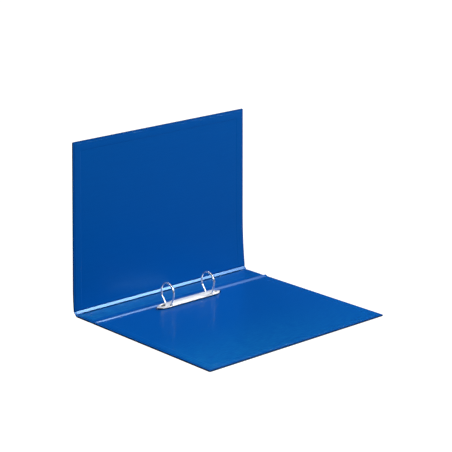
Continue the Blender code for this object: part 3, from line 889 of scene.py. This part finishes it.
class Nodes:
    """A material's node tree, with short calls to build it."""

    def __init__(self, name):
        self.material = bpy.data.materials.new(name)
        self.material.use_nodes = True
        self.tree = self.material.node_tree
        self.shader = self.tree.nodes["Principled BSDF"]

    def set(self, **values):
        """Constant values, set on the shader's own sockets."""
        for key, value in values.items():
            self.shader.inputs[key.replace("_", " ")].default_value = value

    def add(self, kind, links=(), **values):
        """A node, with values for its properties or inputs, and links from other sockets."""
        node = self.tree.nodes.new(kind)
        for key, value in values.items():
            if hasattr(node, key):
                setattr(node, key, value)
            else:
                node.inputs[key.replace("_", " ")].default_value = value
        for socket, source in dict(links).items():
            self.tree.links.new(source, node.inputs[socket])
        return node

    def link(self, source, socket):
        self.tree.links.new(source, self.shader.inputs[socket])

    def coordinates(self, kind, scale):
        """Coordinates in metres, times a scale for each axis."""
        source = self.add("ShaderNodeTexCoord").outputs[kind]
        return self.add("ShaderNodeMapping", {"Vector": source}, Scale=scale).outputs["Vector"]

    def noise(self, kind, scale, detail=2.0, roughness=0.5):
        node = self.add("ShaderNodeTexNoise", {"Vector": self.coordinates(kind, scale)},
                        Scale=1.0, Detail=detail, Roughness=roughness)
        return node.outputs["Fac"]

    def attribute(self, name):
        """A number that a sheet's points carry, or 0 where they have none."""
        return self.add("ShaderNodeAttribute", attribute_name=name).outputs["Fac"]

    def sum_or_product(self, operation, a, b, clamp=False):
        node = self.add("ShaderNodeMath", {0: a, 1: b}, operation=operation, use_clamp=clamp)
        return node.outputs[0]

    def ramp(self, source, low, high):
        """The source's range from 0 to 1 moved to low to high."""
        node = self.add("ShaderNodeMapRange", {"Value": source}, To_Min=low, To_Max=high)
        return node.outputs["Result"]

    def mix(self, source, a, b):
        node = self.add("ShaderNodeMix", data_type="RGBA")
        node.inputs["A"].default_value = (*a, 1)
        node.inputs["B"].default_value = (*b, 1)
        self.tree.links.new(source, node.inputs["Factor"])
        return node.outputs["Result"]

    def mix_towards(self, colour, factor, end):
        """A linked colour, turned into a constant one where the factor is 1."""
        node = self.add("ShaderNodeMix", data_type="RGBA")
        node.inputs["B"].default_value = (*end, 1)
        self.tree.links.new(colour, node.inputs["A"])
        self.tree.links.new(factor, node.inputs["Factor"])
        return node.outputs["Result"]

    def bump(self, height, distance, before=None):
        """A bump in metres, over another one."""
        links = {"Height": height}
        if before is not None:
            links["Normal"] = before
        return self.add("ShaderNodeBump", links, Distance=distance).outputs["Normal"]


def film_material(name, dark, light, specular_tint):
    """Satin polypropylene film with a fine linen emboss, drawn streaks and slight unevenness. It
    has painted shade on wrapped edges and creases, painted sheen with rubbing noise, and painted
    highlight on folds."""
    n = Nodes(name)
    n.set(IOR=1.49, Specular_Tint=(*specular_tint, 1), Specular_IOR_Level=0.42)
    streaks = n.noise("UV", STREAK_SCALE, 5, 0.7)
    edge = n.attribute("painted_shade")
    # painted shade on the wrapped edges and beside the hinge strip's face
    colour = n.mix_towards(n.mix(streaks, dark, light), edge, SHADE_BLUE)
    # painted sheen, broken up by rubbing noise
    marks = n.ramp(n.noise("UV", SCUFF_SCALE, 4, 0.7), -1.4, 2.4)
    sheen_factor = n.sum_or_product("MULTIPLY", n.attribute("rubbed_sheen"), marks, clamp=True)
    colour = n.mix_towards(colour, sheen_factor, SHEEN_BLUE)
    # painted highlight on the hinge strip's face and the bead's flank
    n.link(n.mix_towards(colour, n.attribute("painted_fold_highlight"), HIGHLIGHT_BLUE), "Base Color")
    n.link(n.ramp(edge, FILM_ROUGHNESS, EDGE_ROUGHNESS), "Roughness")
    across, along = (n.noise("UV", scale, 1) for scale in THREAD_SCALES)
    fine = n.bump(n.sum_or_product("ADD", across, along), THREAD_BUMP)
    lines = n.bump(streaks, STREAK_BUMP, before=fine)
    n.link(n.bump(n.noise("UV", WAVE_SCALE, 1), WAVE_BUMP, before=lines), "Normal")
    return n.material


def metal_material(name, colour, dull, roughness, grain, metallic=1.0):
    """Plated steel: bright, with faint drawing marks and a little tarnish."""
    n = Nodes(name)
    n.set(Metallic=metallic)
    n.link(n.mix(n.noise("Object", (160, 160, 160), 4), dull, colour), "Base Color")
    tarnish = n.noise("Object", (420, 420, 420), 3)
    n.link(n.ramp(tarnish, roughness * 0.7, roughness * 1.5), "Roughness")
    marks = n.noise("Object", grain, 2)
    n.link(n.bump(marks, 0.00001), "Normal")
    return n.material


def board_material():
    """Grey board: pressed fibres."""
    n = Nodes("grey_board_fibre")
    fibres = n.noise("Object", (900, 900, 900), 5)
    n.link(n.mix(fibres, (0.30, 0.26, 0.21), (0.50, 0.45, 0.38)), "Base Color")
    n.link(n.ramp(n.noise("Object", (300, 300, 300), 3), 0.8, 0.95), "Roughness")
    n.link(n.bump(n.noise("Object", (1800, 1800, 1800), 3), 0.0001), "Normal")
    return n.material


def floor_material():
    """Pale paper, lit from below for the camera only, so that it washes out as in a studio."""
    n = Nodes("pale_floor")
    n.set(Roughness=0.9, Specular_IOR_Level=0.1, Emission_Color=(1, 1, 1, 1))
    clouds = n.noise("Object", (3, 3, 3), 2)
    n.link(n.mix(clouds, (0.08, 0.08, 0.08), (0.09, 0.09, 0.09)), "Base Color")
    seen = n.add("ShaderNodeLightPath").outputs["Is Camera Ray"]
    n.link(n.ramp(seen, 0.0, 1.1), "Emission Strength")
    return n.material


# Stage


def area_light(name, direction, distance, size, power, target):
    """A soft light that faces its target from a direction and a distance."""
    light = bpy.data.lights.new(name, "AREA")
    light.shape = "RECTANGLE"
    light.size, light.size_y = size
    light.energy = power
    obj = bpy.data.objects.new(name, light)
    bpy.context.scene.collection.objects.link(obj)
    direction = Vector(direction)
    obj.location = Vector(target) + direction.normalized() * distance
    obj.rotation_euler = (-direction).to_track_quat("-Z", "Y").to_euler()


def build_stage():
    """The floor, the world, the lights and the camera."""
    bm = bmesh.new()
    bmesh.ops.create_grid(bm, x_segments=8, y_segments=8, size=FLOOR_HALF,
                          matrix=Matrix.Translation((0, 0, FLOOR_Z)))
    make_object("floor", bm, floor_material())

    world = bpy.data.worlds.new("studio")
    bpy.context.scene.world = world
    world.use_nodes = True
    tree = world.node_tree
    background = tree.nodes["Background"]
    background.inputs["Color"].default_value = (1.0, 1.0, 1.0, 1)
    seen = tree.nodes.new("ShaderNodeLightPath")
    strength = tree.nodes.new("ShaderNodeMapRange")
    strength.inputs["To Min"].default_value = WORLD_LIGHT
    strength.inputs["To Max"].default_value = 1.0
    tree.links.new(seen.outputs["Is Camera Ray"], strength.inputs["Value"])
    tree.links.new(strength.outputs["Result"], background.inputs["Strength"])
    for light in LIGHTS:
        area_light(*light)

    camera = bpy.data.cameras.new("camera")
    camera.sensor_width = CAMERA_SENSOR
    camera.lens = CAMERA_LENS
    camera.clip_start, camera.clip_end = CAMERA_CLIP
    obj = bpy.data.objects.new("camera", camera)
    bpy.context.scene.collection.objects.link(obj)
    obj.location = CAMERA_PLACE
    obj.rotation_euler = Euler([math.radians(a) for a in CAMERA_TURN])
    bpy.context.scene.camera = obj
    bpy.context.scene.view_settings.view_transform = "Standard"


# The binder


def rest_on(obj, body, nodes):
    """Makes a piece move with a body, in place of CAD nodes."""
    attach(obj, body)
    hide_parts(*nodes)


def bend_on(obj, nodes):
    """Bakes a piece's placement into its mesh, in place of CAD nodes."""
    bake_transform(obj)
    if nodes:
        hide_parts(*nodes)


def build_covers():
    """The film and the lining of each panel and hinge, and the boards."""
    film = film_material(
        "blue_film_outside", (0, 0.056, 0.285), (0, 0.080, 0.345), (0.16, 0.55, 1.0)
    )
    lining = film_material(
        "blue_film_lining", (0, 0.062, 0.296), (0, 0.086, 0.363), (0.16, 0.58, 1.0)
    )
    board = board_material()

    cover_relief = (0.0025, 0.006)
    back = Profile(BACK_FOLD_ROWS, FOLDS["back_outer_fold"], cover_relief, COVER_WIDTH,
                   away=(-1, 0), bead=True)
    spine = Profile(SPINE_ROWS, FOLDS["back_inner_fold"], (0.001, 0.004))
    edge = Profile(SPINE_EDGE_ROWS, FOLDS["front_inner_fold"], (0.0010, -0.0012))
    front = Profile(FRONT_FOLD_ROWS, FOLDS["front_outer_fold"], cover_relief, COVER_WIDTH,
                    away=(0, 1), upright=True)

    wide, tight = 3.9 * MM, 2.4 * MM
    panels = (  # name, profile, bodies, fold, way across it, its reach, CAD panels, CAD strips
        (
            "back_cover", back, ("back_hinge", "back_cover"), "back_outer_fold",
            (0, -1, 0), wide, ("back_cover",), (),
        ),
        (
            "spine", spine, ("back_hinge", "spine"), "back_inner_fold",
            (0, 1, 0), wide, ("spine",), ("back_hinge_strip",),
        ),
        (
            "front_hinge", edge, ("spine", "front_hinge"), "front_inner_fold",
            (0, 0.924, 0.383), tight, (), ("front_hinge_strip",),
        ),
        (
            "front_cover", front, ("front_hinge", "front_cover"), "front_outer_fold",
            (0, 0.383, 0.924), tight, ("front_cover",), (),
        ),
    )
    for name, profile, bodies, fold, direction, reach, stands_for, strips in panels:
        outside = film_piece(name + "_outer_film", profile, film)
        nodes = [node + "_film" for node in stands_for] + list(strips)
        bend_on(outside, nodes)
        inside = lining_piece(name + "_inner_lining", profile, lining)
        # painted highlight on the folds, painted sheen with rubbing noise, and painted shade beside
        # the hinge strip's face
        if name != "spine":
            mark_points(inside, "painted_fold_highlight", functools.partial(painted_fold_highlight, name))
        if name != "front_cover":
            mark_points(inside, "rubbed_sheen", functools.partial(sheen_and_rubbing, name))
        # painted shade beside the hinge strip's face
        if name in FOLD_SHADE_SPAN:
            mark_points(inside, "painted_shade", functools.partial(fold_shade, name))
        nodes = [node + "_lining" for node in stands_for]
        bend_on(inside, nodes)

    upright_board = board_piece("front_cover_stiff_board", front, board)
    rest_on(upright_board, "front_cover", ("front_cover_board",))
    for name in ("back_cover_board", "spine_board"):
        frame["nodes"][name].material_slots[0].material = board


def build_mechanism():
    """The plate, the rings and the rivets, and the materials of the posts and the blades."""
    drawn = (60, 2400, 2400)  # grain along the binder's height
    nickel = metal_material(
        "bright_nickel", (0.97, 0.96, 0.93), (0.90, 0.89, 0.86), 0.42, drawn, 0.5
    )
    # nearly black nickel: painted shade on the plate's lower walls, lips and dimples
    shaded_nickel = metal_material(
        "nickel_painted_shade", (0.05, 0.055, 0.07), (0.03, 0.035, 0.045), 0.14, drawn
    )
    chrome = metal_material(
        "bright_chrome", (0.95, 0.96, 0.97), (0.86, 0.87, 0.88), 0.12, (1500, 1500, 1500), 0.78
    )
    steel = metal_material(
        "grey_steel", (0.16, 0.16, 0.17), (0.10, 0.10, 0.11), 0.32, drawn
    )
    dark = metal_material(
        "darkened_rivet", (0.16, 0.15, 0.14), (0.10, 0.095, 0.09), 0.25, (900, 900, 900)
    )
    rest_on(ring_plate(nickel, shaded_nickel), "back_cover", ("ring_plate",))
    for side, end in (("left", -1), ("right", 1)):
        place = Vector((MECHANISM_X + end * RING_SPACING / 2, PLATE_Y, 0))
        fore = wire_piece(
            f"ring_{side}_fore_wire", fore_path(), place, FORE_PEG_LENGTH, PEG_RADIUS, 0, chrome
        )
        rest_on(fore, "fore_jaw", (f"ring_{side}_fore_half",))
        socket = PEG_RADIUS + JOINT_GAP
        far = wire_piece(
            f"ring_{side}_spine_wire", spine_path(), place, SPINE_PEG_LENGTH, 0, socket, chrome
        )
        rest_on(far, "spine_jaw", (f"ring_{side}_spine_half",))
        rivet_x = MECHANISM_X + end * RIVET_SPACING / 2
        rivet = rivet_piece(f"rivet_{side}_rolled", rivet_x, dark)
        rest_on(rivet, "back_cover", (f"rivet_{side}",))
        frame["nodes"]["post_" + side].material_slots[0].material = nickel
    for name in ("fore_blade", "spine_blade"):
        frame["nodes"][name].material_slots[0].material = steel


build_stage()
build_covers()
build_mechanism()
